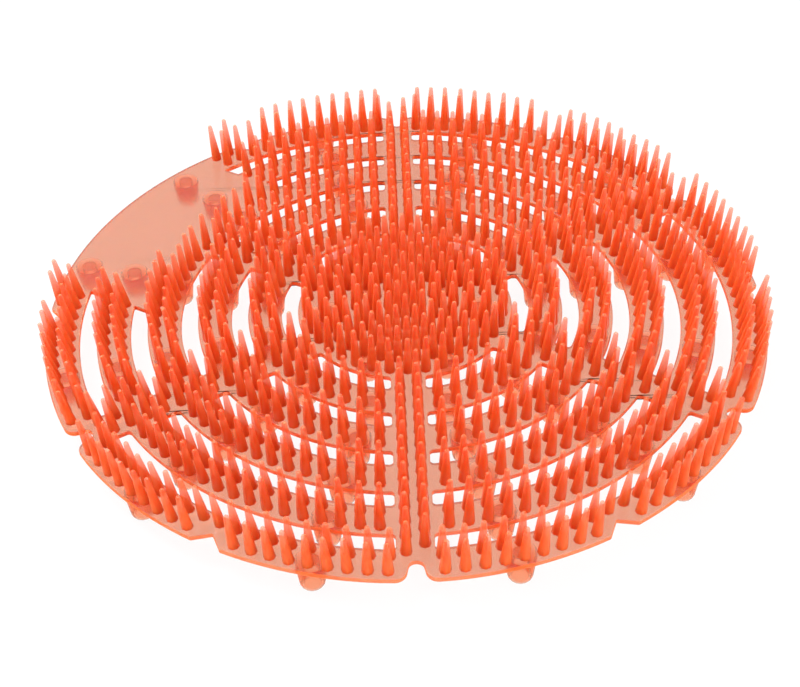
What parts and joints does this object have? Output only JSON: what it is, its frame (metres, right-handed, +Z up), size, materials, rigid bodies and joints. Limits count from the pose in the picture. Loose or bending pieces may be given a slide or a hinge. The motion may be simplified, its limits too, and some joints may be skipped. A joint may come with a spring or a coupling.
{
  "type": "urinal deodorizer screen",
  "caption": "Round soft urinal screen: a thin disc with arc slots and a notched rim, upright bristles on top, hollow feet beneath and one bare flat area.",
  "frame": {"origin": "middle of the disc, on the plane that its feet stand on", "axes": "+Z up along the bristles, -Y towards the viewer, +X to the viewer's right; the bare area lies behind and to the left"},
  "size_m": [0.1858, 0.1858, 0.0196],
  "materials": {
    "soft_rubber": "satin"
  },
  "bodies": {
    "root": {"screen": "soft_rubber"}
  },
  "joints": []
}
